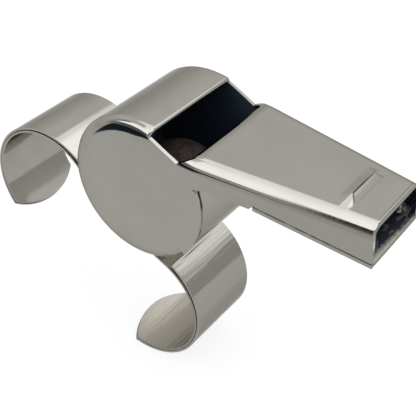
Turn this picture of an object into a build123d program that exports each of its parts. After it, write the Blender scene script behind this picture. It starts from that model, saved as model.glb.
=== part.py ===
from build123d import *
import os
from math import acos, asin, atan2, cos, degrees, hypot, radians, sin, tan

# A pea whistle of soldered sheet brass with a two-finger grip.
# X points from the barrel to the mouth, Y runs along the barrel and Z is up.
# The origin is the middle of the front finger loop. Lengths are in millimetres, angles in degrees.
# Angles turn about the barrel or a loop from X towards Z.

# Barrel
barrel_radius = 11.0
body_width = 18.8
sheet = 0.55
rim_radius = 1.3
flange_depth = 1.5
lip_angle = 77.0
lip_rounding = 0.42
edge_limit_share = 0.8
front_wall_angle = 20.0

# Open seam between the cheeks and the band, below the mouthpiece
seam_top_angle = 26.0
seam_bottom_angle = -36.0
seam_gap = 0.25
seam_notch = 0.45

# Sound window, a notch with its apex between the barrel and the mouthpiece
window_depth = 1.15
window_slope_angle = 23.7
window_apex_angle = 49.4
window_rake_angle = 31.7

# Mouthpiece
mouth_reach = 34.25
mouth_height = 6.05
mouth_width = 12.6
shoulder_rise = 1.65
shoulder_radius = 1.9
skirt = 0.3
front_rounding = 0.36
wall_rise = 0.6
wall_lead = 0.7

# Floor plate and its tongue, which leaves the air slit under the top plate
floor_sheet = 0.65
floor_slope_angle = 6.8
floor_length = 16.3
floor_notch = 0.45
slit_height = 0.9
slit_inset = 1.1
tongue_clearance = 0.05

# Bite groove across the top plate, with the ridge that its pressing raises behind it
groove_from_mouth = 3.95
groove_channel = 1.65
groove_drop = 0.25
groove_length = 9.2
groove_depth = 0.12
groove_corner = 0.5
groove_lead = 0.3
groove_bow_share = 0.75
groove_crown_radius = 36.0
ridge_run = 1.3
ridge_height = 0.3
ridge_bow_share = 0.62

# Solder beads in the mouth
bead_size = 0.7
bead_length = 14.0

# Cork pea
pea_diameter = 12.1
pea_clearance = 0.3
pea_offset = 1.3
pea_cuts = 8

# Finger grip
grip_angle = 240.0
loop_half_angle = 30.65
front_run = 8.2
rear_run = 7.0
loop_inner_radius = 9.4
front_sweep_angle = 181.0
rear_sweep_angle = 188.6
strip_width = 13.0
strip_sheet = 0.35
tip_radius = 9.9
backing_gap = 0.05
backing_free_gap = 0.3
front_backing_lap_angle = 6.8
rear_backing_lap_angle = 1.8
backing_touch_share = 0.6
solder_film = 0.1
solder_height = 0.45

# One overrun for every cut
overrun = 5.0


def polar(radius, angle):
    return Vector(radius * cos(radians(angle)), radius * sin(radians(angle)))


def prism(outline, low, high):
    """Stand an X-Z outline between two places along Y."""
    return extrude(Plane.XZ.offset(-high) * outline, amount=high - low)


def polygon(*points):
    return make_face(Polyline(*points, close=True))


def arc_strip(center, inner, outer, start, sweep):
    """A curved strip with square ends, as an outline."""
    end = start + sweep
    ends = [Line(center + polar(inner, angle), center + polar(outer, angle)) for angle in (start, end)]
    arcs = [CenterArc(center, radius, start, sweep) for radius in (inner, outer)]
    return make_face(ends + arcs)


# Places worked out from the driving dimensions, seen from the side with the barrel's axis at zero
axis = Vector(0, 0)
half_width = body_width / 2
bore_radius = barrel_radius - sheet
lip_fillet = min(lip_rounding, sheet * edge_limit_share)
front_fillet = min(front_rounding, sheet * edge_limit_share)
window_distance = barrel_radius - window_depth
window_normal = 90 - window_slope_angle
apex = polar(window_distance / cos(radians(window_normal - window_apex_angle)), window_apex_angle)
lip_foot = polar(window_distance / cos(radians(lip_angle - window_normal)), lip_angle)
top_level = apex.Y + shoulder_rise
skirt_level = apex.Y - skirt
plate_edge = Vector(apex.X + shoulder_rise / tan(radians(window_rake_angle)), top_level)
bend = polar(barrel_radius, seam_top_angle)
mouth_low = Vector(mouth_reach, top_level - mouth_height)
along_floor = polar(1, 180 - floor_slope_angle)
up_mouth = polar(1, 90 + floor_slope_angle)
reach = mouth_reach + barrel_radius
taper = degrees(atan2(half_width - mouth_width / 2, mouth_reach - bend.X))


def half_width_at(x):
    """Half of the body's outer width, straight along the barrel and tapered to the mouth."""
    return half_width - max(0, x - bend.X) * tan(radians(taper))


def plan(inset, x_low, x_high):
    """The body's tapered plan, drawn in on each side."""
    setback = inset / cos(radians(taper))
    corner = max(x_low, bend.X)
    xs = [x_low, corner, x_high] if corner > x_low else [x_low, x_high]
    edge = [(x, half_width_at(x) - (setback if x > bend.X else inset)) for x in xs]
    return polygon(*edge, *[(x, -y) for x, y in reversed(edge)])


def plan_prism(inset, x_low, x_high):
    """The plan standing through the whole height."""
    return extrude(Plane.XY.offset(-reach) * plan(inset, x_low, x_high), amount=2 * reach)


# What lies past the mouth, which is square to the floor
past_mouth = prism(
    polygon(
        mouth_low - up_mouth * overrun,
        mouth_low - up_mouth * overrun + Vector(reach, 0),
        mouth_low + up_mouth * reach + Vector(reach, 0),
        mouth_low + up_mouth * reach,
    ),
    -reach,
    reach,
)

# Floor line from the mouth to the bend, then the tongue up to the slit, on the upper side
floor_up = up_mouth * floor_sheet
floor_mouth = mouth_low + floor_up
floor_bend = floor_mouth + along_floor * floor_length
slit = Vector(plate_edge.X - slit_inset, top_level - sheet - slit_height)
along_tongue = (slit - floor_bend).normalized()
tongue_low = slit + along_tongue.rotate(Axis.Z, 90) * floor_sheet
floor_path = Polyline(floor_mouth - along_floor * overrun, floor_bend, slit)
floor_outline = make_face(offset(floor_path, amount=floor_sheet, side=Side.LEFT, closed=True))


def make_mouthpiece_floor():
    wide = plan_prism(0, floor_bend.X, reach)
    narrow = plan_prism(sheet + tongue_clearance, axis.X, floor_bend.X)
    plate = prism(floor_outline, -half_width, half_width)
    return (plate & (wide + narrow)) - past_mouth


def make_barrel_band():
    """The round wall, with a straight front that stands under the tongue."""
    rear_half = half_width - flange_depth
    front_half = half_width - sheet - seam_gap
    foot = seam_bottom_angle + 360
    rear = arc_strip(axis, bore_radius, barrel_radius, lip_angle, foot - lip_angle)
    front = arc_strip(axis, bore_radius, barrel_radius, foot, front_wall_angle - seam_bottom_angle)
    rise = polar(barrel_radius, front_wall_angle + 90)
    ends = [polar(radius, front_wall_angle) for radius in (bore_radius, barrel_radius)]
    straight = polygon(ends[0], ends[1], ends[1] + rise, ends[0] + rise)
    above = polygon(
        tongue_low + along_tongue * barrel_radius,
        tongue_low - along_tongue * barrel_radius,
        floor_bend + Vector(0, reach),
        slit + Vector(-barrel_radius, reach),
    )
    front_wall = prism(front, -front_half, front_half)
    front_wall += prism(straight, -front_half, front_half) - prism(above, -half_width, half_width)
    band = prism(rear, -rear_half, rear_half) + front_wall
    lip = polar(barrel_radius, lip_angle)
    lip_edge = band.edges().filter_by(Axis.Y).sort_by_distance((lip.X, 0, lip.Y))[0]
    return fillet(lip_edge, lip_fillet)


def cheek_sector(profile, start, sweep):
    """Turn a cheek's radial profile about the barrel's axis."""
    direction = polar(1, start)
    plane = Plane((0, 0, 0), x_dir=(direction.X, 0, direction.Y), z_dir=(-direction.Y, 0, direction.X))
    return revolve(plane * profile, axis=Axis((0, 0, 0), (0, -1, 0)), revolution_arc=sweep)


def make_near_cheek():
    """A pressed side plate: the barrel's end with its rounded rim, and the mouthpiece's wall."""
    face = -half_width
    back = face + sheet
    rim_center = Vector(barrel_radius - rim_radius, face + rim_radius)
    flange = face + flange_depth
    rim = CenterArc(rim_center, rim_radius, -90, 90)
    inner = Polyline(
        rim @ 1,
        (barrel_radius, flange),
        (bore_radius, flange),
        (bore_radius, rim_center.Y),
        (rim_center.X, back),
        (0, back),
        (0, face),
        rim @ 0,
    )
    pan = make_face([rim, inner])
    flat = polygon((0, face), (barrel_radius, face), (barrel_radius, back), (0, back))
    rounded_sweep = seam_bottom_angle + 360 - lip_angle
    cheek = cheek_sector(pan, lip_angle, rounded_sweep)
    cheek += cheek_sector(flat, seam_bottom_angle, 360 - rounded_sweep)

    wall_low = bend + Vector(wall_lead, wall_rise)
    wall = polygon(
        apex / 2,
        (apex.X, skirt_level),
        (reach, skirt_level),
        floor_mouth - along_floor * reach,
        floor_bend,
        (floor_bend.X - floor_notch, wall_low.Y),
        wall_low,
        bend,
        bend / 2,
    )
    outer_plan = plan_prism(0, axis.X, reach)
    inner_plan = plan_prism(sheet, axis.X, reach)
    cheek += prism(wall, -half_width, axis.Y) & (outer_plan - inner_plan)

    window = polygon(
        lip_foot,
        apex,
        (apex.X, skirt_level),
        (reach, skirt_level),
        (reach, reach),
        polar(reach, lip_angle),
    )
    notch = polygon(bend + Vector(seam_notch, 0), bend + Vector(0, seam_notch), bend - Vector(seam_notch, 0))
    cheek -= prism(window, -reach, reach)
    cheek -= prism(notch, -reach, reach)
    cheek -= past_mouth
    lip = polar(barrel_radius, lip_angle)
    lip_edge = cheek.edges().filter_by(Axis.Y).sort_by_distance((lip.X, flange, lip.Y))[0]
    return fillet(lip_edge, lip_fillet)


def top_block(inset, floor):
    """The tapered plan raised to the top plate's level, with its long edges rounded."""
    block = extrude(Plane.XY.offset(floor) * plan(inset, axis.X, reach), amount=top_level - inset - floor)
    long_edges = block.faces().sort_by(Axis.Z)[-1].edges().filter_by(Axis.Y, reverse=True)
    return fillet(long_edges, shoulder_radius - inset)


def crowned(outline):
    """Sweep a side outline across the top plate, along an arch that falls away to both sides."""
    arch = Axis((0, 0, top_level - groove_crown_radius), (1, 0, 0))
    spread = degrees(asin((groove_length / 2 + groove_lead) / groove_crown_radius))
    return revolve((Plane.XZ * outline).rotate(arch, -spread), arch, 2 * spread)


def groove_outline(crest, low, end, lid):
    """The bite groove from the side: a steep drop from its crest, then a curve up towards the mouth."""
    middle = Vector((low.X + end.X) / 2, end.Y - (end.Y - low.Y) * groove_bow_share)
    rise = ThreePointArc(low, middle, end)
    return make_face([Line(crest, low), rise, Polyline(end, (end.X, lid), (crest.X, lid), crest)])


def ridge_outline(foot, crest, core):
    """The ridge behind the groove from the side: a bowed climb from its foot to the crest."""
    middle = Vector((foot.X + crest.X) / 2, foot.Y + (crest.Y - foot.Y) * ridge_bow_share)
    climb = ThreePointArc(foot, middle, crest)
    return make_face([climb, Polyline(crest, (crest.X, core), (foot.X, core), foot)])


def make_mouthpiece_top():
    """The top plate with its rounded shoulders, the raked window edge and the pressed bite groove."""
    rake = plate_edge - apex
    window = polygon(
        (apex.X, apex.Y - overrun),
        apex,
        plate_edge + rake,
        (axis.X - overrun, plate_edge.Y + rake.Y),
        (axis.X - overrun, apex.Y - overrun),
    )
    plate = top_block(0, skirt_level) - prism(window, -reach, reach) - past_mouth
    mouth_edges = plate.faces().sort_by(Axis.X)[-1].edges().sort_by(Axis.Z)[1:]
    plate = fillet(mouth_edges, front_fillet)
    plate -= top_block(sheet, skirt_level - overrun)

    mouth_top = mouth_low.X - mouth_height * tan(radians(floor_slope_angle))
    end = Vector(mouth_top - groove_from_mouth, top_level)
    crest = Vector(end.X - groove_channel, top_level + ridge_height)
    low = Vector(crest.X + groove_drop, top_level - groove_depth)
    core = top_level - sheet / 2
    plate += crowned(ridge_outline(Vector(crest.X - ridge_run, top_level), crest, core))
    under = Vector(0, sheet)
    lead = Vector(groove_lead, sheet)
    crest_under = Vector(crest.X - groove_lead, top_level - sheet)
    plate += crowned(groove_outline(crest_under, low - under, end + lead - 2 * under, core))
    outline = Pos(end.X - groove_channel / 2, 0) * RectangleRounded(groove_channel, groove_length, groove_corner)
    within = extrude(Plane.XY.offset(crest.Y) * outline, amount=-overrun)
    return plate - (crowned(groove_outline(crest, low, end, crest.Y + overrun)) & within)


def make_near_mouth_solder():
    """The bead along the near inner corner between the floor and the wall."""
    x = mouth_reach + overrun
    y = sheet / cos(radians(taper)) - half_width_at(x)
    z = floor_mouth.Y - (x - floor_mouth.X) * tan(radians(floor_slope_angle))
    across = Plane((x, 0, 0), x_dir=(0, 1, 0), z_dir=(1, 0, 0))
    bead = across * polygon((y, z), (y + bead_size, z), (y, z + bead_size))
    corner = Vector(-1, -tan(radians(taper)), tan(radians(floor_slope_angle)))
    return extrude(bead, amount=overrun + bead_length, dir=corner) - past_mouth


def make_pea():
    """A ball cut from cork, in narrow flat turns from pole to pole."""
    radius = pea_diameter / 2
    orbit = bore_radius - pea_clearance - radius
    outline = polygon(*[polar(radius, 180 * turn / pea_cuts - 90) for turn in range(pea_cuts + 1)])
    return Pos(0, pea_offset, -orbit) * revolve(Plane.XZ * outline, Axis.Z)


# Grip path: a saddle on the barrel, and a straight run and an arc to each loop
strip_half = strip_width / 2
saddle_radius = barrel_radius + solder_film
loop_outer_radius = loop_inner_radius + strip_sheet


class Loop:
    """One finger loop: its centre, where the strip leaves the barrel for it, and its arc."""

    def __init__(self, turn, run, sweep, lap):
        aim = grip_angle + turn * loop_half_angle
        lean = degrees(atan2(run, saddle_radius + loop_outer_radius))
        self.turn = turn
        self.center = polar(hypot(run, saddle_radius + loop_outer_radius), aim)
        self.leave_angle = aim - turn * lean
        self.start = aim + 180 - turn * lean
        self.sweep = -turn * sweep
        self.tip = self.start + self.sweep
        self.backing_start = self.start - turn * lap
        self.touch = self.start + self.sweep * backing_touch_share


front_loop = Loop(1, front_run, front_sweep_angle, front_backing_lap_angle)
rear_loop = Loop(-1, rear_run, rear_sweep_angle, rear_backing_lap_angle)


def tip_trim(loop):
    """What is cut from a strip's end to leave a rounded tongue."""
    out = polar(1, loop.tip)
    ahead = polar(1, loop.tip - loop.turn * 90)
    center = Plane(
        (loop.center.X, 0, loop.center.Y),
        x_dir=(ahead.X, 0, ahead.Y),
        z_dir=(out.X, 0, out.Y),
    )
    back = Pos(-tip_radius / 2, 0) * Rectangle(tip_radius + overrun, strip_width + overrun)
    corner = back - Pos(-tip_radius, 0) * Circle(tip_radius)
    return extrude(center.offset(loop_inner_radius / 2) * corner, amount=loop_outer_radius)


def make_finger_strip():
    """The finger-side strip, one band bent to the saddle and both loops."""
    saddle_sweep = front_loop.leave_angle - rear_loop.leave_angle
    outline = arc_strip(axis, saddle_radius, saddle_radius + strip_sheet, rear_loop.leave_angle, saddle_sweep)
    for loop in (front_loop, rear_loop):
        leave = [polar(radius, loop.leave_angle) for radius in (saddle_radius, saddle_radius + strip_sheet)]
        radii = (loop_outer_radius, loop_inner_radius)
        arrive = [loop.center + polar(radius, loop.start) for radius in radii]
        outline += polygon(leave[0], leave[1], arrive[1], arrive[0])
        outline += arc_strip(loop.center, loop_inner_radius, loop_outer_radius, loop.start, loop.sweep)
    strip = prism(outline, -strip_half, strip_half)
    for loop in (front_loop, rear_loop):
        strip -= tip_trim(loop)
    return strip


def make_backing_strip(loop):
    """The outer strip of a loop, which lies close at one place and springs a little free at its ends."""
    center = loop.center - polar(backing_free_gap, loop.touch)
    inner = loop_outer_radius + backing_gap + backing_free_gap
    outline = arc_strip(center, inner, inner + strip_sheet, loop.backing_start, loop.tip - loop.backing_start)
    return prism(outline, -strip_half, strip_half) - tip_trim(loop)


def make_grip_solder():
    """The solder film under the saddle, with a fillet at each end."""
    spread = degrees(acos(saddle_radius / (barrel_radius + solder_height)))
    first = rear_loop.leave_angle - spread
    last = front_loop.leave_angle + spread
    pool = prism(
        arc_strip(axis, barrel_radius, barrel_radius + 2 * solder_height, first, last - first),
        -strip_half,
        strip_half,
    )
    runs = [loop.center + polar(loop_outer_radius, loop.start) for loop in (front_loop, rear_loop)]
    leaves = [polar(saddle_radius, loop.leave_angle) for loop in (front_loop, rear_loop)]
    saddle_sweep = rear_loop.leave_angle - front_loop.leave_angle
    saddle = CenterArc(axis, saddle_radius, front_loop.leave_angle, saddle_sweep)
    beyond = polar(reach, grip_angle)
    outside = make_face(
        [
            Line(runs[0], leaves[0]),
            saddle,
            Line(leaves[1], runs[1]),
            Polyline(runs[1], runs[1] + beyond, runs[0] + beyond, runs[0]),
        ]
    )
    return pool - prism(outside, -half_width, half_width)


near_cheek = make_near_cheek()
near_mouth_solder = make_near_mouth_solder()
nodes = {
    "barrel_band": make_barrel_band(),
    "near_cheek": near_cheek,
    "far_cheek": mirror(near_cheek, about=Plane.XZ),
    "mouthpiece_top": make_mouthpiece_top(),
    "mouthpiece_floor": make_mouthpiece_floor(),
    "near_mouth_solder": near_mouth_solder,
    "far_mouth_solder": mirror(near_mouth_solder, about=Plane.XZ),
    "pea": make_pea(),
    "finger_strip": make_finger_strip(),
    "front_backing_strip": make_backing_strip(front_loop),
    "rear_backing_strip": make_backing_strip(rear_loop),
    "grip_solder": make_grip_solder(),
}

os.makedirs("parts", exist_ok=True)
origin_shift = Pos(-front_loop.center.X, 0, -front_loop.center.Y)
for name, solid in nodes.items():
    export_step(origin_shift * solid, f"parts/{name}.step")
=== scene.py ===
from math import atan2, cos, hypot, pi, radians, sin, sqrt, tan

import bmesh
import bpy
from mathutils import Matrix, Vector, noise


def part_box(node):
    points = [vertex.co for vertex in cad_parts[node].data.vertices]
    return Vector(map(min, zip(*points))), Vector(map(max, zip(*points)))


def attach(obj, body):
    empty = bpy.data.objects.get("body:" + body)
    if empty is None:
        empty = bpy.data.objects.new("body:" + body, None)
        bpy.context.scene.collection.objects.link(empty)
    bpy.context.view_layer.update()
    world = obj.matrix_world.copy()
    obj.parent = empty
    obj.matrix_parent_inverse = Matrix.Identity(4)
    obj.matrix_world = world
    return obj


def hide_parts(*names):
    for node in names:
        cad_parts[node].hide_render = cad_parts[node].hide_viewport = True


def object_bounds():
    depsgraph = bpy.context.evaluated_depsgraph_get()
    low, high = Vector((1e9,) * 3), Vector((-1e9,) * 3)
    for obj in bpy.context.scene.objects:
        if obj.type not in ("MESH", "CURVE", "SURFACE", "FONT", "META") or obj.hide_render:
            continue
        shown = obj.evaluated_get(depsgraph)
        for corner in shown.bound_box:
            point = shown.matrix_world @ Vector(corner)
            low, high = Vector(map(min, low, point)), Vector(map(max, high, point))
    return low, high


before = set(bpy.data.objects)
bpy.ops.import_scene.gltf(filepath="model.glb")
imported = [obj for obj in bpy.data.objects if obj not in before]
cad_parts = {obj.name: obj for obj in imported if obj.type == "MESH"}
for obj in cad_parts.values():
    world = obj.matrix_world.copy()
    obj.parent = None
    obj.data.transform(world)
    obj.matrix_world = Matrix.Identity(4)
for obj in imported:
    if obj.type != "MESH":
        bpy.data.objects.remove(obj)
cad_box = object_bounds()
scene = bpy.context.scene
scene.view_settings.view_transform = "Standard"

# Lengths are in metres
# A pair for a soft step says where it starts and where it is full, and a ramp also says from what to what
# A noise is its scale and its detail
noise_detail = 3.0
noise_roughness = 0.55
white = (1, 1, 1, 1)
black = (0, 0, 0, 1)

# Camera, fitted to the barrel, the loops and the mouthpiece
camera_place = Vector((0.062109, -0.088759, 0.101523))
camera_right = Vector((0.81380, 0.57743, 0.06548))
camera_up = Vector((-0.40549, 0.48351, 0.77574))
camera_back = Vector((0.41629, -0.65785, 0.62764))
camera_sensor = 36.0
camera_lens = 81.08
camera_near = 0.001
camera_far = 10.0

# Floor, which the metal shows dimmer towards the camera and on the right, with a dark patch on the left
floor_size = 2.0
floor_colour = (0.8, 0.8, 0.8, 1)
floor_glow_share = 0.85
floor_dim_ramp = (-0.11, -0.03, 0.75, 1.0)
floor_patch_x = (-0.03, -0.045)
floor_patch_y = (-0.056, -0.064)
floor_patch_slant = -1.2
floor_patch_left = (0.0, 0.009)
floor_patch_colour = (0.028, 0.043, 0.064, 1)
floor_right_x = (-0.012, 0.008)
floor_right_y = (-0.02, -0.04)
floor_right_share = 0.9

# Room light by the height of a direction, dimmer low on the right
room_heights = (-1.0, 0.0, 0.3, 0.6, 0.68, 1.0)
room_greys = (0.9, 0.92, 0.96, 1.14, 1.12, 1.12)
room_dip_x = (0.45, 0.7)
room_dip_z = (0.6, 0.45)
room_dip_share = 0.28

# Ceiling panel, with each edge as u, v and limit, where u and v are x and y over the height
least_height = 0.02
panel_back = (0.3, -1.0, -1.06)
panel_front = (-0.43, 1.0, -1.05)
panel_tongue_edges = ((-5.6, 1.0, -0.1), (0.0, 1.0, -2.9))
panel_right = (-1.0, 0.0, -1.9)
panel_inner_edges = ((-1.0, 0.0, -0.25), (-0.58, 1.0, 0.505), (0.0, -1.0, -0.4))
panel_left = (1.0, -0.25, -0.68)
panel_left_near = ((1.0, -0.33, -0.353), (0.0, 1.0, 0.0))
panel_front_left = (0.6, -1.0, 0.43)
panel_softness = 0.05
panel_tongue_softness = 0.3
panel_back_softness_ramp = (-0.4, 1.2, 0.12, 0.4)
panel_dim_ramp = (0.5, 1.3, 1.0, 0.8)
panel_near_v = (0.9, -1.0)
panel_middle_u = (-0.35, -0.12)
panel_middle_v = (1.05, 0.8)
panel_far_colour = (2.05, 2.07, 2.16, 1)
panel_near_colour = (2.74, 2.76, 2.88, 1)

# Studio's dark side, in greys by a direction's x, and its black part, in colours by a direction's z
dark_y = (-0.35, -0.55)
dark_z = (-0.08, 0.0)
dark_left_x = (-0.33, -0.42)
dark_left_end_z = (0.5, 0.62)
front_places = (-0.9, -0.8, -0.68, -0.5, -0.36, 0.1, 0.5)
front_greys = (0.9, 0.5, 0.24, 0.22, 0.74, 0.74, 0.74)
black_start_x = (-0.15, -0.09)
black_end_x = (0.45, 0.25)
black_heights = (0.0, 0.12, 0.22, 0.32, 0.46)
black_colours = (
    (0.68, 0.66, 0.64, 1),
    (0.5, 0.45, 0.42, 1),
    (0.31, 0.24, 0.22, 1),
    (0.18, 0.145, 0.135, 1),
    (0.07, 0.065, 0.067, 1),
)

# Body, from the frame
cheek_low, cheek_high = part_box("near_cheek")
top_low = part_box("mouthpiece_top")[0]
floor_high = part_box("mouthpiece_floor")[1]
bead_low, bead_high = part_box("near_mouth_solder")
pea_low, pea_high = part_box("pea")
barrel_radius = (cheek_high.z - cheek_low.z) / 2
axis_x = cheek_low.x + barrel_radius
axis_z = cheek_low.z + barrel_radius
half_width = -cheek_low.y
sheet = 0.00055
flange_depth = 0.0015
bend_angle = radians(26)
bend_x = axis_x + barrel_radius * cos(bend_angle)
bend_z = axis_z + barrel_radius * sin(bend_angle)
mouth_half_width = 0.0063
taper_slope = (half_width - mouth_half_width) / (floor_high.x - bend_x)
floor_slope = tan(radians(6.8))

# Cheeks' rims, as in the solids and as drawn wider here, between two angles around the barrel's axis
rim_radius = 0.0013
rim_width = 0.0019
rim_start = (radians(76), radians(92))
rim_end = (radians(295), radians(315))

# Top plate, as in the solids
skirt = 0.0003
shoulder_rise = 0.00165
shoulder_radius = 0.0019
rake_slope = tan(radians(31.7))
apex_x = top_low.x
apex_z = top_low.z + skirt
plate_level = apex_z + shoulder_rise
plate_edge_x = apex_x + shoulder_rise / rake_slope
plate_mouth_x = cheek_high.x - (plate_level - bead_low.z) * floor_slope
front_rounding = 0.00036
front_margin = 0.0002

# Bite groove: a channel whose back edge slants at its near end, with a ridge around it
channel_setback = 0.00395
channel_length = 0.0013
channel_front = plate_mouth_x - channel_setback
channel_back = channel_front - channel_length
channel_near = -0.0022
channel_slant = 0.57
channel_far = 0.0037
channel_lift = 0.00017
channel_depth = 0.0001
channel_wall = 0.0001
channel_wall_spread = 0.2
ridge_height = 0.00036
ridge_far_share = 0.47
ridge_back_reach = 0.0012
ridge_near_reach = 0.003
ridge_far_reach = 0.0009
ridge_arm = (0.0006, 0.0014)
ridge_blend_share = 0.08
press_fade_power = 4

# Steps of the top plate's mesh along the plate and across it
plain_steps = 24
ridge_steps = 24
wall_steps = 4
channel_steps = 26
mouth_steps = 10
front_edge_steps = 8
shoulder_steps = 14
flat_near_steps = 84
flat_far_steps = 16

# Eased edges
edge_bevel = 0.00006
sheet_bevel = 0.00022
bevel_segments = 4
bevel_profile = 0.5
bevel_angle = radians(38)
flat_angle = radians(0.3)
weld = 0.000001
skin = 0.00005

# Polished nickel, and its full reflectance as a lit copy of its colour where it is seen in another mirror:
# painted light on metal mirrored in metal
nickel_clean = (0.315, 0.306, 0.276, 1)
nickel_film = (0.298, 0.288, 0.257, 1)
nickel_edge = (0.55, 0.54, 0.52, 1)
mirror_lit_colour = (0.72, 0.7, 0.65, 1)
film_noise = (150.0, 4.0)
film_reach = (0.35, 0.75)
rub_scale = (2600.0, 2600.0, 180.0)
rub_turn = (0.3, 0.5, 0.2)
rub_gloss_ramp = (0.3, 0.75, 0.06, 0.12)
grain_noise = (5200.0, 2.0)
grain_strength = 0.1
grain_depth = 0.000004

# Grime in the floor's seam and along the cheeks' edges
grime_and_crease_colour = (0.05, 0.036, 0.026, 1)
grime_noise = (700.0, 4.0)
grime_ramp = (0.34, 0.56, 0.25, 1.0)
seam_reach = (0.0002, 0.0)
seam_length = 0.0162
gap_half = 0.00012
edge_reach = 0.00036
edge_start_share = 0.62

# Dark lines in the top plate's creases, in the grime's colour: the groove's crest and the line behind the
# front edge
crease_drop = 0.000475
crease_noise = (900.0, 3.0)
crease_ramp = (0.2, 0.5, 0.55, 0.85)
crest_rise = (-0.00005, 0.00005)
crest_fall = (0.0002, 0.00005)
crest_near_share = 0.2
line_rise = (0.0, 0.00005)
line_fall = (0.00015, 0.00005)
line_near_share = 0.25

# Painted shade on the inside of the barrel and the mouth, darker further in from the mouth, over a dull
# lining
corner_reach = 0.0015
shade_depths = (0.0006, 0.0015)
shade_lean = 0.0005
shade_barrel_depths = (0.012, 0.024)
shade_heights = (0.0001, 0.001)
shade_ragged = 0.0009
shade_noise = (1500.0, 4.0)
inside_roughness = 0.5
inside_metal_share = 0.3
dull_colour = (0.34, 0.32, 0.28, 1)
# Painted shade colours: near-black in the mouth, a little lighter deep in the barrel
mouth_shade_colour = (0.006, 0.009, 0.015, 1)
barrel_shade_colour = (0.026, 0.04, 0.06, 1)
scratch_colour = (0.085, 0.08, 0.074, 1)
scratch_scale = (2400.0, 260.0, 1500.0)
scratch_reach = (0.55, 0.66)
scratch_depths = (0.009, 0.003)
warp_noise = (260.0, 1.0)
warp_size = 0.004

# Strips' nickel, with a haze, ripples and, in the front loop, wear
satin_clean = (0.31, 0.299, 0.268, 1)
satin_film = (0.287, 0.276, 0.245, 1)
satin_worn = (0.262, 0.246, 0.211, 1)
satin_worn_gloss = 0.34
satin_ripple_depth = 0.0002
outer_worn_gloss = 0.14
outer_ripple_depth = 0.00016
ripple_scale = (640.0, 30.0, 640.0)
ripple_roughness = 0.5
ripple_strengths = (0.1, 1.0)
haze_noise = (170.0, 4.0)
haze_reach = (0.35, 0.7)
haze_gloss = (0.07, 0.12)
front_loop_reach = (-0.015, -0.008)

# Solder and its runs in the mouth, where each wave is a scale along X, a shift by side and a place
solder_bright = (0.2, 0.19, 0.175, 1)
solder_dull = (0.02, 0.021, 0.024, 1)
solder_noise = (1300.0, 5.0)
solder_reach = (0.38, 0.6)
solder_roughness = (0.4, 0.65)
solder_metal_share = 0.6
solder_grit = (3200.0, 3.0)
solder_grit_strength = 0.5
solder_grit_depth = 0.00006
bead_stations = 70
bead_fan = 8
bead_end_gap = 0.0008
bead_wave = (420.0, 3.0, 0.5)
bead_ripple = (1600.0, 5.0, 2.5)
bead_swell = (380.0, 7.0, 4.5)
bead_wide = 0.0011
bead_wide_wave = 0.0006
bead_wide_ripple = 0.0003
bead_tall = 0.0009
bead_tall_swell = 0.0005
bead_tall_ripple = 0.00025
bead_lump_scales = (2400.0, 2.0, 9.0)
bead_lump_share = 0.25
bead_hollow_share = 0.35

# Cork and the pea's lumps and pits
cork_light = (0.055, 0.028, 0.022, 1)
cork_dark = (0.018, 0.011, 0.01, 1)
cork_grain_scale = 900.0
cork_noise = (2600.0, 3.0)
cork_reach = (0.3, 0.6)
cork_roughness = 0.8
cork_pore_strength = 0.5
cork_pore_depth = 0.0001
pea_subdivisions = 5
pea_lump_scale = 260.0
pea_lump = 0.00012
pea_pit_scale = 1400.0
pea_pit_level = 0.15
pea_pit = 0.0004


def add(tree, kind, inputs=None, **settings):
    """A shader node with its settings, and its inputs either set or linked."""
    made = tree.nodes.new(kind)
    for name, value in settings.items():
        setattr(made, name, value)
    for name, value in (inputs or {}).items():
        if isinstance(value, bpy.types.NodeSocket):
            tree.links.new(value, made.inputs[name])
        else:
            made.inputs[name].default_value = value
    return made


def calc(tree, operation, *values):
    return add(tree, "ShaderNodeMath", dict(enumerate(values)), operation=operation).outputs[0]


def product(tree, *values):
    total = values[0]
    for value in values[1:]:
        total = calc(tree, "MULTIPLY", total, value)
    return total


def between(tree, value, low, high, first=0.0, last=1.0, smooth=True):
    """The value's way from low to high, as a way from first to last."""
    inputs = {"Value": value, "From Min": low, "From Max": high, "To Min": first, "To Max": last}
    kind = "SMOOTHSTEP" if smooth else "LINEAR"
    return add(tree, "ShaderNodeMapRange", inputs, interpolation_type=kind).outputs[0]


def mix_colour(tree, share, first, second):
    return add(tree, "ShaderNodeMix", {0: share, 6: first, 7: second}, data_type="RGBA").outputs[2]


def mix_value(tree, share, first, second):
    return add(tree, "ShaderNodeMix", {0: share, 2: first, 3: second}).outputs[0]


def colour_ramp(tree, value, places, colours):
    """Colours at places from -1 to 1 along a value."""
    ramp = add(tree, "ShaderNodeValToRGB", {"Fac": between(tree, value, -1.0, 1.0, smooth=False)})
    stops = ramp.color_ramp.elements
    while len(stops) < len(places):
        stops.new(1.0)
    for stop, place, colour in zip(stops, places, colours):
        stop.position = (place + 1) / 2
        stop.color = colour
    return ramp.outputs[0]


def grey_ramp(tree, value, places, greys):
    return colour_ramp(tree, value, places, [(grey, grey, grey, 1) for grey in greys])


def noise_at(tree, place, scale, detail=noise_detail, roughness=noise_roughness):
    inputs = {"Vector": place, "Scale": scale, "Detail": detail, "Roughness": roughness}
    return add(tree, "ShaderNodeTexNoise", inputs).outputs["Fac"]


def stretched(tree, place, scale, turn=(0.0, 0.0, 0.0)):
    return add(tree, "ShaderNodeMapping", {"Vector": place, "Rotation": turn, "Scale": scale}).outputs[0]


def split(tree, vector):
    return add(tree, "ShaderNodeSeparateXYZ", {0: vector}).outputs


def add_bump(tree, shader, strength, depth, height):
    bump = add(tree, "ShaderNodeBump", {"Strength": strength, "Distance": depth, "Height": height})
    tree.links.new(bump.outputs[0], shader["Normal"])


def new_material(name):
    """A material with its node tree, its shader's inputs and a place in the object's own frame."""
    material = bpy.data.materials.new(name)
    material.use_nodes = True
    tree = material.node_tree
    place = add(tree, "ShaderNodeTexCoord").outputs["Object"]
    return material, tree, tree.nodes["Principled BSDF"].inputs, place


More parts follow.
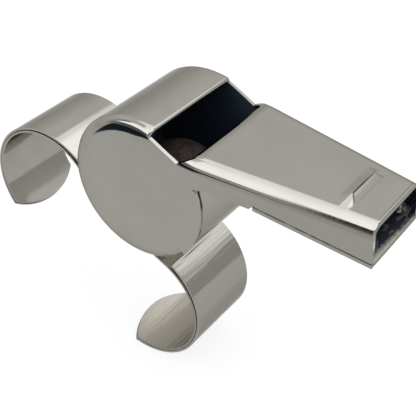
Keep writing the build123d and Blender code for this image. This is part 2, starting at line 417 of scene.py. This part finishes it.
def make_camera():
    data = bpy.data.cameras.new("camera")
    data.sensor_width = camera_sensor
    data.lens = camera_lens
    data.clip_start = camera_near
    data.clip_end = camera_far
    camera = bpy.data.objects.new("camera", data)
    turn = Matrix((camera_right, camera_up, camera_back)).transposed().to_4x4()
    camera.matrix_world = Matrix.Translation(camera_place) @ turn
    scene.collection.objects.link(camera)
    scene.camera = camera


def floor_material():
    """Pale paper that shows as white to the camera and in the metal, and takes a faint shadow."""
    material = bpy.data.materials.new("floor")
    material.use_nodes = True
    tree = material.node_tree
    tree.nodes.clear()
    path = add(tree, "ShaderNodeLightPath").outputs
    seen = calc(tree, "MAXIMUM", path["Is Camera Ray"], path["Is Glossy Ray"])
    seen = calc(tree, "MAXIMUM", seen, path["Is Transmission Ray"])
    x, y = split(tree, add(tree, "ShaderNodeNewGeometry").outputs["Position"])[:2]
    from_left = calc(tree, "MULTIPLY_ADD", y, floor_patch_slant, x)
    patch = product(
        tree,
        between(tree, x, *floor_patch_x),
        between(tree, y, *floor_patch_y),
        between(tree, from_left, *floor_patch_left),
        path["Is Glossy Ray"],
    )
    share = calc(tree, "MAXIMUM", calc(tree, "MULTIPLY", seen, floor_glow_share), patch)
    right = product(tree, between(tree, x, *floor_right_x), between(tree, y, *floor_right_y))
    dimmed = between(tree, y, *floor_dim_ramp)
    dimmed = calc(tree, "MULTIPLY", dimmed, mix_value(tree, right, 1.0, floor_right_share))
    strength = calc(tree, "MAXIMUM", dimmed, path["Is Camera Ray"])
    paper = add(tree, "ShaderNodeBsdfDiffuse", {"Color": floor_colour}).outputs[0]
    colour = mix_colour(tree, patch, white, floor_patch_colour)
    glow = add(tree, "ShaderNodeEmission", {"Color": colour, "Strength": strength}).outputs[0]
    mixed = add(tree, "ShaderNodeMixShader", {0: share, 1: paper, 2: glow}).outputs[0]
    add(tree, "ShaderNodeOutputMaterial", {"Surface": mixed})
    return material


def make_floor():
    bpy.ops.mesh.primitive_plane_add(size=floor_size, location=(0, 0, cad_box[0][2]))
    floor = bpy.context.object
    floor.name = "floor"
    floor.data.materials.append(floor_material())


def half_plane(tree, u, v, edge, softness=panel_softness):
    """1 on the bright side of a panel's edge, 0 past it, with a soft step between."""
    across, along, limit = edge
    total = calc(tree, "MULTIPLY_ADD", v, along, calc(tree, "MULTIPLY", u, across))
    way = calc(tree, "DIVIDE", calc(tree, "SUBTRACT", total, limit), softness)
    return between(tree, way, -1.0, 1.0)


def either_side(tree, u, v, edges):
    """1 on the bright side of any of some edges."""
    total = half_plane(tree, u, v, edges[0])
    for edge in edges[1:]:
        total = calc(tree, "MAXIMUM", total, half_plane(tree, u, v, edge))
    return total


def make_panel(tree, u, v):
    """The share and the colour of the ceiling panel, whose back edge is softer on the right."""
    tongue = [half_plane(tree, u, v, edge, panel_tongue_softness) for edge in panel_tongue_edges]
    front = calc(tree, "MAXIMUM", half_plane(tree, u, v, panel_front), product(tree, *tongue))
    right = either_side(tree, u, v, panel_inner_edges)
    right = calc(tree, "MULTIPLY", right, half_plane(tree, u, v, panel_right))
    left = either_side(tree, u, v, panel_left_near)
    left = calc(tree, "MULTIPLY", left, half_plane(tree, u, v, panel_left))
    left = calc(tree, "MAXIMUM", left, half_plane(tree, u, v, panel_front_left))
    back = half_plane(tree, u, v, panel_back, between(tree, u, *panel_back_softness_ramp))
    share = product(tree, back, front, right, left, between(tree, u, *panel_dim_ramp))
    near = between(tree, v, *panel_near_v)
    middle = product(tree, between(tree, u, *panel_middle_u), between(tree, v, *panel_middle_v))
    nearness = calc(tree, "MAXIMUM", near, middle)
    return share, mix_colour(tree, nearness, panel_far_colour, panel_near_colour)


def dark_side(tree, x, y, z):
    """The share and the colour of the studio's dark side, which ends lower on the left."""
    over_left = product(tree, between(tree, z, *dark_left_end_z), between(tree, x, *dark_left_x))
    share = product(
        tree,
        between(tree, y, *dark_y),
        between(tree, z, *dark_z),
        calc(tree, "SUBTRACT", 1.0, over_left),
    )
    blackness = product(tree, between(tree, x, *black_start_x), between(tree, x, *black_end_x))
    side = grey_ramp(tree, x, front_places, front_greys)
    darkest = colour_ramp(tree, z, black_heights, black_colours)
    return share, mix_colour(tree, blackness, side, darkest)


def make_world():
    """The studio: the room's light, the dark side over it and the ceiling panel over both."""
    world = bpy.data.worlds.new("studio")
    scene.world = world
    world.use_nodes = True
    tree = world.node_tree
    tree.nodes.clear()
    x, y, z = split(tree, add(tree, "ShaderNodeTexCoord").outputs["Generated"])
    height = calc(tree, "MAXIMUM", z, least_height)
    u = calc(tree, "DIVIDE", x, height)
    v = calc(tree, "DIVIDE", y, height)

    room = grey_ramp(tree, z, room_heights, room_greys)
    low_right = product(tree, between(tree, x, *room_dip_x), between(tree, z, *room_dip_z), room_dip_share)
    colour = mix_colour(tree, low_right, room, black)
    share, dark = dark_side(tree, x, y, z)
    colour = mix_colour(tree, share, colour, dark)
    share, panel = make_panel(tree, u, v)
    colour = mix_colour(tree, share, colour, panel)
    background = add(tree, "ShaderNodeBackground", {"Color": colour}).outputs[0]
    add(tree, "ShaderNodeOutputWorld", {"Surface": background})


def before_mouth(tree, x, z):
    """How far a point lies behind the plane of the mouth, along X."""
    over_bead = calc(tree, "SUBTRACT", z, bead_low.z)
    plane = calc(tree, "MULTIPLY_ADD", over_bead, -floor_slope, cheek_high.x)
    return calc(tree, "SUBTRACT", plane, x)


def over_floor(tree, x, z):
    """A point's height over the floor plate's upper face."""
    line = calc(tree, "MULTIPLY_ADD", calc(tree, "SUBTRACT", cheek_high.x, x), floor_slope, bead_low.z)
    return calc(tree, "SUBTRACT", z, line)


def under_skin(tree, first, second):
    """1 where two depths from outer faces are both past the sheet, and their rounded corner too."""
    deep = [calc(tree, "GREATER_THAN", depth, sheet - skin) for depth in (first, second)]
    return product(tree, *deep, calc(tree, "GREATER_THAN", calc(tree, "ADD", first, second), corner_reach))


def from_barrel_axis(tree, place):
    """A place's distance from the barrel's axis."""
    away = add(tree, "ShaderNodeVectorMath", {0: place, 1: (axis_x, 0, axis_z)}, operation="SUBTRACT")
    flat = add(tree, "ShaderNodeVectorMath", {0: away.outputs[0], 1: (1, 0, 1)}, operation="MULTIPLY")
    return add(tree, "ShaderNodeVectorMath", {0: flat.outputs[0]}, operation="LENGTH").outputs["Value"]


def inside_share(tree, place):
    """1 on the inner faces of the barrel and the mouthpiece, and how deep in the painted shade a place
    lies.
    """
    x, y, z = split(tree, place)
    past_bend = calc(tree, "MAXIMUM", calc(tree, "SUBTRACT", x, bend_x), 0.0)
    width = calc(tree, "MULTIPLY_ADD", past_bend, taper_slope, calc(tree, "ABSOLUTE", y))
    from_side = calc(tree, "SUBTRACT", half_width, width)
    from_top = calc(tree, "SUBTRACT", plate_level, z)
    from_wall = calc(tree, "SUBTRACT", barrel_radius, from_barrel_axis(tree, place))
    in_barrel = under_skin(tree, from_side, from_wall)
    above = calc(tree, "GREATER_THAN", over_floor(tree, x, z), -skin)
    past = calc(tree, "GREATER_THAN", x, bend_x)
    in_mouth = product(tree, under_skin(tree, from_side, from_top), above, past)
    higher = between(tree, over_floor(tree, x, z), *shade_heights, 0.0, shade_depths[1])
    lean = between(tree, y, -mouth_half_width, mouth_half_width, 0.0, shade_lean)
    depth = calc(tree, "ADD", calc(tree, "ADD", before_mouth(tree, x, z), higher), lean)
    return calc(tree, "MAXIMUM", in_barrel, in_mouth), depth


def grime_share(tree, place):
    """1 along the floor's seam and along the cheeks' edges at the barrel's front, broken by noise."""
    x, y, z = split(tree, place)
    from_seam = calc(tree, "ABSOLUTE", over_floor(tree, x, z))
    past_start = calc(tree, "GREATER_THAN", x, cheek_high.x - seam_length)
    seam = product(tree, between(tree, from_seam, *seam_reach), past_start)
    from_edge = calc(tree, "SUBTRACT", calc(tree, "ABSOLUTE", y), half_width - sheet - gap_half)
    edge = product(
        tree,
        between(tree, calc(tree, "ABSOLUTE", from_edge), edge_reach, gap_half),
        calc(tree, "GREATER_THAN", x, axis_x + barrel_radius * edge_start_share),
        calc(tree, "LESS_THAN", x, axis_x + barrel_radius + skin),
        calc(tree, "LESS_THAN", z, bend_z),
    )
    broken = between(tree, noise_at(tree, place, *grime_noise), *grime_ramp)
    return product(tree, calc(tree, "MAXIMUM", seam, edge), broken)


def crease_share(tree, place):
    """1 along the groove's upper edge and behind the rounded edge over the mouth."""
    x, y, z = split(tree, place)
    upper = calc(tree, "GREATER_THAN", z, plate_level - crease_drop)
    slant = calc(tree, "MAXIMUM", calc(tree, "SUBTRACT", channel_near, y), 0.0)
    back = calc(tree, "MULTIPLY_ADD", slant, channel_slant, channel_back)
    into = calc(tree, "MINIMUM", calc(tree, "SUBTRACT", x, back), calc(tree, "SUBTRACT", channel_far, y))
    crest = product(
        tree,
        between(tree, into, *crest_rise),
        between(tree, into, *crest_fall),
        between(tree, x, channel_front, channel_front - channel_wall),
        between(tree, y, channel_near - channel_wall, channel_far, crest_near_share, 1.0),
    )
    behind = calc(tree, "SUBTRACT", before_mouth(tree, x, z), front_rounding)
    line = product(
        tree,
        between(tree, behind, *line_rise),
        between(tree, behind, *line_fall),
        between(tree, y, -mouth_half_width, mouth_half_width / 2, line_near_share, 1.0),
    )
    broken = between(tree, noise_at(tree, place, *crease_noise), *crease_ramp)
    return product(tree, calc(tree, "MAXIMUM", crest, line), upper, broken)


def lit_in_mirror(tree, colour):
    """The colour, or the metal's full reflectance where it is seen in another mirror: a lit copy, painted
    light on metal mirrored in metal.
    """
    mirrored = add(tree, "ShaderNodeLightPath").outputs["Is Glossy Ray"]
    return mix_colour(tree, mirrored, colour, mirror_lit_colour)


def polished(tree, shader, place):
    """Sets polished nickel's bump, and gives its colour and roughness, with film and fine hairlines."""
    film = between(tree, noise_at(tree, place, *film_noise), *film_reach)
    rubs = noise_at(tree, stretched(tree, place, rub_scale, rub_turn), 1.0)
    add_bump(tree, shader, grain_strength, grain_depth, noise_at(tree, place, *grain_noise))
    shader["Specular Tint"].default_value = nickel_edge
    # Painted light: the colour turns to the lit copy where the nickel is seen in another mirror
    colour = lit_in_mirror(tree, mix_colour(tree, film, nickel_clean, nickel_film))
    return colour, between(tree, rubs, *rub_gloss_ramp)


def painted_inside_shade(tree, place, depth):
    """The painted shade of the inside, lighter deep in the barrel, with scratches near the mouth."""
    warp = calc(tree, "MULTIPLY", noise_at(tree, place, *warp_noise), warp_size)
    warped = add(tree, "ShaderNodeVectorMath", {0: place, 1: warp}, operation="ADD").outputs[0]
    scratches = noise_at(tree, stretched(tree, warped, scratch_scale), 1.0)
    scratched = product(
        tree, between(tree, scratches, *scratch_reach), between(tree, depth, *scratch_depths)
    )
    in_barrel = between(tree, depth, *shade_barrel_depths)
    shade_tone = mix_colour(tree, in_barrel, mouth_shade_colour, barrel_shade_colour)
    return mix_colour(tree, scratched, shade_tone, scratch_colour)


def make_nickel():
    """Polished nickel with painted shade on its inside, grime in its seams and dark lines in its creases.
    """
    material, tree, shader, place = new_material("nickel")
    colour, gloss = polished(tree, shader, place)
    # Grime along the seams and the cheeks' edges, and dark lines along the top plate's creases
    grime_and_creases = calc(tree, "MAXIMUM", grime_share(tree, place), crease_share(tree, place))
    inside, depth = inside_share(tree, place)
    # Painted shade: the inside darkens further in from the mouth and higher over its floor
    ragged = calc(tree, "MULTIPLY_ADD", noise_at(tree, place, *shade_noise), shade_ragged, depth)
    shaded = calc(tree, "MULTIPLY", inside, between(tree, ragged, *shade_depths))
    colour = mix_colour(tree, grime_and_creases, colour, grime_and_crease_colour)
    colour = mix_colour(tree, inside, colour, dull_colour)
    colour = mix_colour(tree, shaded, colour, painted_inside_shade(tree, place, depth))
    tree.links.new(colour, shader["Base Color"])
    tree.links.new(mix_value(tree, inside, gloss, inside_roughness), shader["Roughness"])
    tree.links.new(mix_value(tree, inside, 1.0, inside_metal_share), shader["Metallic"])
    return material


def make_strip_nickel(name, clean, film, worn, worn_gloss, ripple_depth):
    """A strip's nickel, with ripples from its bending and a satin wear in the front loop."""
    material, tree, shader, place = new_material(name)
    haze = between(tree, noise_at(tree, place, *haze_noise), *haze_reach)
    in_front = between(tree, split(tree, place)[0], *front_loop_reach)
    colour = mix_colour(tree, in_front, mix_colour(tree, haze, clean, film), worn)
    # Painted light: the colour turns to the lit copy where the strip is seen in another mirror
    tree.links.new(lit_in_mirror(tree, colour), shader["Base Color"])
    gloss = mix_value(tree, haze, *haze_gloss)
    tree.links.new(mix_value(tree, in_front, gloss, worn_gloss), shader["Roughness"])
    shader["Metallic"].default_value = 1.0
    shader["Specular Tint"].default_value = nickel_edge
    ripples = noise_at(tree, stretched(tree, place, ripple_scale), 1.0, roughness=ripple_roughness)
    add_bump(tree, shader, mix_value(tree, in_front, *ripple_strengths), ripple_depth, ripples)
    return material


def make_solder():
    """Rough grey solder with darker flux stains."""
    material, tree, shader, place = new_material("solder")
    stain = between(tree, noise_at(tree, place, *solder_noise), *solder_reach)
    tree.links.new(mix_colour(tree, stain, solder_bright, solder_dull), shader["Base Color"])
    tree.links.new(mix_value(tree, stain, *solder_roughness), shader["Roughness"])
    shader["Metallic"].default_value = solder_metal_share
    add_bump(tree, shader, solder_grit_strength, solder_grit_depth, noise_at(tree, place, *solder_grit))
    return material


def make_cork():
    """Dark cork with lighter grains and small pores."""
    material, tree, shader, place = new_material("cork")
    grains = add(tree, "ShaderNodeTexVoronoi", {"Vector": place, "Scale": cork_grain_scale})
    tone = add(tree, "ShaderNodeSeparateColor", {0: grains.outputs["Color"]}).outputs[0]
    specks = between(tree, noise_at(tree, place, *cork_noise), *cork_reach)
    shade = calc(tree, "MULTIPLY", between(tree, tone, 0.0, 1.0), specks)
    tree.links.new(mix_colour(tree, shade, cork_dark, cork_light), shader["Base Color"])
    shader["Roughness"].default_value = cork_roughness
    add_bump(tree, shader, cork_pore_strength, cork_pore_depth, grains.outputs["Distance"])
    return material


def finish_piece(piece, body, slot, *nodes):
    scene.collection.objects.link(piece)
    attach(piece, body)
    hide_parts(*nodes)


def new_piece(name, mesh, material):
    """An object from a bmesh, smooth but for its sharp edges."""
    bmesh.ops.recalc_face_normals(mesh, faces=mesh.faces)
    for face in mesh.faces:
        face.smooth = True
    data = bpy.data.meshes.new(name)
    mesh.to_mesh(data)
    mesh.free()
    data.set_sharp_from_angle(angle=bevel_angle)
    data.materials.append(material)
    return bpy.data.objects.new(name, data)


def half_width_at(x):
    return half_width - max(0.0, x - bend_x) * taper_slope


def smooth_step(value, low, high):
    way = min(1.0, max(0.0, (value - low) / (high - low)))
    return way * way * (3 - 2 * way)


def soft_floor(value, blend):
    """The value where it is above zero, and zero below, with a soft change."""
    return (value + sqrt(value * value + blend * blend)) / 2


def spread(low, high, count):
    return [low + (high - low) * step / count for step in range(count + 1)]


def on_joint(edge):
    """Whether an edge lies on a polished joint, around the barrel's ends or under the shoulders."""
    ends = [vert.co for vert in edge.verts]
    around_barrel = all(abs(abs(end.y) - half_width + flange_depth) < skin for end in ends)
    under_shoulder = all(abs(end.z - top_low.z) < skin for end in ends)
    return around_barrel or under_shoulder


def widen_rim(mesh):
    """Draws a cheek's rounded rim further onto its flat, all around but for the window and the front."""
    for vert in mesh.verts:
        out = Vector((vert.co.x - axis_x, 0, vert.co.z - axis_z))
        across = barrel_radius - out.length
        depth = half_width - abs(vert.co.y)
        on_rim = abs(hypot(rim_radius - across, rim_radius - depth) - rim_radius) < skin
        if on_rim and max(across, depth) < rim_radius + skin:
            angle = atan2(out.z, out.x) % (2 * pi)
            share = smooth_step(angle, *rim_start) * (1 - smooth_step(angle, *rim_end))
            vert.co -= out.normalized() * across * (rim_width / rim_radius - 1) * share


def rounded_copy(node, material, offset):
    """The node's own shape with its exposed sharp edges eased, as polishing leaves them."""
    mesh = bmesh.new()
    mesh.from_mesh(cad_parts[node].data)
    bmesh.ops.remove_doubles(mesh, verts=mesh.verts, dist=weld)
    bmesh.ops.dissolve_limit(mesh, angle_limit=flat_angle, verts=mesh.verts, edges=mesh.edges)
    if node.endswith("cheek"):
        widen_rim(mesh)
    sharp = [
        edge for edge in mesh.edges
        if edge.is_manifold and edge.calc_face_angle() > bevel_angle and not on_joint(edge)
    ]
    bmesh.ops.bevel(
        mesh,
        geom=sharp,
        offset=offset,
        segments=bevel_segments,
        profile=bevel_profile,
        affect="EDGES",
        clamp_overlap=True,
    )
    piece = new_piece(node + "_eased", mesh, material)
    finish_piece(piece, "whistle", "nickel", node)
    even = piece.modifiers.new("even", "WEIGHTED_NORMAL")
    even.keep_sharp = True


def ridge_at(x, y):
    """The height of the ridge at a place, falling away from the channel and along its two arms."""
    behind = max(0.0, channel_back - x) / ridge_back_reach
    near = max(0.0, channel_near - y) / ridge_near_reach
    way = soft_floor(1 - hypot(behind, near), ridge_blend_share)
    height = ridge_height * (1 - (1 - ridge_far_share) * smooth_step(y, 0.0, channel_far))
    return height * way * (1 - smooth_step(x - channel_back, *ridge_arm))


def groove_at(x, y):
    """The height of the ridge or of the channel's bottom at a place before the far end."""
    past_near = max(0.0, channel_near - y)
    back = channel_back + past_near * channel_slant
    into = x - back
    if into <= 0 or x >= channel_front:
        return ridge_at(x, y)
    way = into / (channel_front - back)
    size = (channel_front - back) / channel_length
    bottom = (channel_lift * (1 - way) - 4 * channel_depth * way * (1 - way)) * size
    wall = min(1.0, into / (channel_wall + past_near * channel_wall_spread))
    return ridge_at(x, y) * (1 - wall) + bottom * wall


def pressed_height(x, y):
    """The height that the ridge and the bite groove add to the top plate, running out at the far end."""
    y *= (half_width_at(channel_back) - shoulder_radius) / (half_width_at(x) - shoulder_radius)
    past_far = smooth_step(y, channel_far, channel_far + ridge_far_reach)
    return groove_at(x, min(y, channel_far)) * (1 - past_far)


def plate_stations():
    """Places along the plate, as shares of its length, close together at the groove and the mouth."""
    length = plate_mouth_x - plate_edge_x
    ridge_foot = channel_back - ridge_back_reach - channel_wall
    places = spread(plate_edge_x, ridge_foot, plain_steps)
    places += spread(ridge_foot, channel_back, ridge_steps)[1:]
    places += spread(channel_back, channel_back + channel_wall, wall_steps)[1:]
    places += spread(channel_back + channel_wall, channel_front, channel_steps)[1:]
    places += spread(channel_front, plate_mouth_x - front_rounding - front_margin, mouth_steps)[1:]
    turns = spread(0.0, pi / 2, front_edge_steps)
    places += [plate_mouth_x - front_rounding * (1 - sin(turn)) for turn in turns]
    return [(place - plate_edge_x) / length for place in places]


def plate_section(inset):
    """Half of the plate's cross-section as distances from the side, heights and outward directions."""
    radius = shoulder_radius - inset
    points = [(inset, top_low.z, -1.0, 0.0)]
    for angle in spread(0.0, pi / 2, shoulder_steps):
        side = inset + radius * (1 - cos(angle))
        z = plate_level - inset - radius * (1 - sin(angle))
        points.append((side, z, -cos(angle), sin(angle)))
    return points


def flat_shares():
    """Places across the flat of the plate, as shares of its half width, closer at the groove's far end."""
    flat_half = half_width_at(channel_back) - shoulder_radius
    wall_low = (channel_far - channel_wall) / flat_half
    wall_high = channel_far / flat_half
    shares = spread(-1, wall_low, flat_near_steps)[1:]
    shares += spread(wall_low, wall_high, wall_steps)[1:]
    return shares + spread(wall_high, 1, flat_far_steps)[1:-1]


def plate_row(share, inset):
    """One row of points across the plate, from the near side to the far side."""
    near = []
    for side, z, out_y, out_z in plate_section(inset):
        back = apex_x + max(0.0, z - apex_z) / rake_slope
        front = cheek_high.x - (z - bead_low.z) * floor_slope
        x = back + (front - back) * share
        near.append((x, side - half_width_at(x), z, out_y, out_z))
    flat_x, flat_edge, flat_z = near[-1][:3]
    flat = [(flat_x, flat_edge * -across, flat_z, 0.0, 1.0) for across in flat_shares()]
    far = [(x, -y, z, -out_y, out_z) for x, y, z, out_y, out_z in reversed(near)]
    return near + flat + far


def plate_point(x, y, z, out_y, out_z, rounding):
    """A point of the plate with the pressed forms and the front edge's rounding."""
    front = cheek_high.x - (z - bead_low.z) * floor_slope
    into_edge = max(0.0, rounding - (front - x))
    drop = rounding - sqrt(max(0.0, rounding * rounding - into_edge * into_edge))
    rise = pressed_height(x, y) * out_z ** press_fade_power
    return (x, y - out_y * drop, z - out_z * drop + rise)


def make_top_plate(material):
    """The top plate with soft shoulders, its ridge and groove, and a rounded edge over the mouth."""
    mesh = bmesh.new()
    layers = []
    for inset, rounding in ((0.0, front_rounding), (sheet, 0.0)):
        rows = [plate_row(share, inset) for share in plate_stations()]
        layers.append([[mesh.verts.new(plate_point(*point, rounding)) for point in row] for row in rows])
    outer, inner = layers
    for layer in layers:
        for row, following in zip(layer, layer[1:]):
            for column in range(len(row) - 1):
                mesh.faces.new((row[column], row[column + 1], following[column + 1], following[column]))
    for outside, within in ((outer[0], inner[0]), (outer[-1], inner[-1])):
        for column in range(len(outside) - 1):
            mesh.faces.new((outside[column], outside[column + 1], within[column + 1], within[column]))
    for column in (0, -1):
        for row, following, under, under_next in zip(outer, outer[1:], inner, inner[1:]):
            mesh.faces.new((row[column], following[column], under_next[column], under[column]))
    piece = new_piece("mouthpiece_top_pressed", mesh, material)
    finish_piece(piece, "whistle", "nickel", "mouthpiece_top")


def make_cork_ball(material):
    """The pea as a slightly lumpy ball with small pits."""
    center = (pea_low + pea_high) / 2
    radius = (pea_high.x - pea_low.x) / 2
    mesh = bmesh.new()
    bmesh.ops.create_icosphere(mesh, subdivisions=pea_subdivisions, radius=1.0)
    for vert in mesh.verts:
        out = vert.co.normalized()
        lump = (1 + noise.noise(out * radius * pea_lump_scale)) / 2
        pit = max(0.0, noise.noise(out * radius * pea_pit_scale) - pea_pit_level)
        vert.co = center + out * (radius - pea_lump * lump - pea_pit * pit)
    finish_piece(new_piece("pea_cork", mesh, material), "pea", "cork", "pea")


def bead_noise(x, side, scale, shift, level):
    return noise.noise((x * scale, side * shift, level))


def bead_row(x, side):
    """The points of a solder run's cross-section: the corner, and a hollow fan from floor to wall."""
    ripple = bead_noise(x, side, *bead_ripple)
    wide = bead_wide + bead_wide_wave * bead_noise(x, side, *bead_wave) + bead_wide_ripple * ripple
    tall = bead_tall + bead_tall_swell * bead_noise(x, side, *bead_swell) + bead_tall_ripple * ripple
    y = half_width_at(x) - sheet
    z = bead_low.z + (cheek_high.x - x) * floor_slope
    row = [(x, side * y, z)]
    along, around, apart = bead_lump_scales
    for angle in spread(0.0, pi / 2, bead_fan):
        lump = 1 + bead_lump_share * noise.noise((x * along, angle * around, side * apart))
        reach = (1 - bead_hollow_share * sin(2 * angle)) * lump
        row.append((x, side * (y - wide * cos(angle) * reach), z + tall * sin(angle) * reach))
    return row


def make_solder_bead(side, node, material):
    """A lumpy run of solder along one lower corner of the mouth."""
    mesh = bmesh.new()
    rows = []
    for x in spread(bead_low.x, bead_high.x - bead_end_gap, bead_stations):
        rows.append([mesh.verts.new(point) for point in bead_row(x, side)])
    for row, following in zip(rows, rows[1:]):
        for column in range(len(row)):
            after = (column + 1) % len(row)
            mesh.faces.new((row[column], row[after], following[after], following[column]))
    mesh.faces.new(rows[0])
    mesh.faces.new(rows[-1])
    finish_piece(new_piece(node + "_run", mesh, material), "whistle", "solder", node)


make_camera()
make_floor()
make_world()
nickel = make_nickel()
outer_nickel = make_strip_nickel(
    "strip_nickel", nickel_clean, nickel_film, nickel_film, outer_worn_gloss, outer_ripple_depth
)
satin_nickel = make_strip_nickel(
    "satin_nickel", satin_clean, satin_film, satin_worn, satin_worn_gloss, satin_ripple_depth
)
solder = make_solder()
cork = make_cork()
materials = {"pea": cork, "grip_solder": solder, "near_mouth_solder": solder, "far_mouth_solder": solder}
for name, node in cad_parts.items():
    node.data.materials.clear()
    node.data.materials.append(materials.get(name, nickel))
rounded_copy("finger_strip", satin_nickel, edge_bevel)
for name in ("front_backing_strip", "rear_backing_strip"):
    rounded_copy(name, outer_nickel, edge_bevel)
for name in ("barrel_band", "near_cheek", "far_cheek", "mouthpiece_floor"):
    rounded_copy(name, nickel, sheet_bevel)
make_top_plate(nickel)
make_cork_ball(cork)
make_solder_bead(-1, "near_mouth_solder", solder)
make_solder_bead(1, "far_mouth_solder", solder)
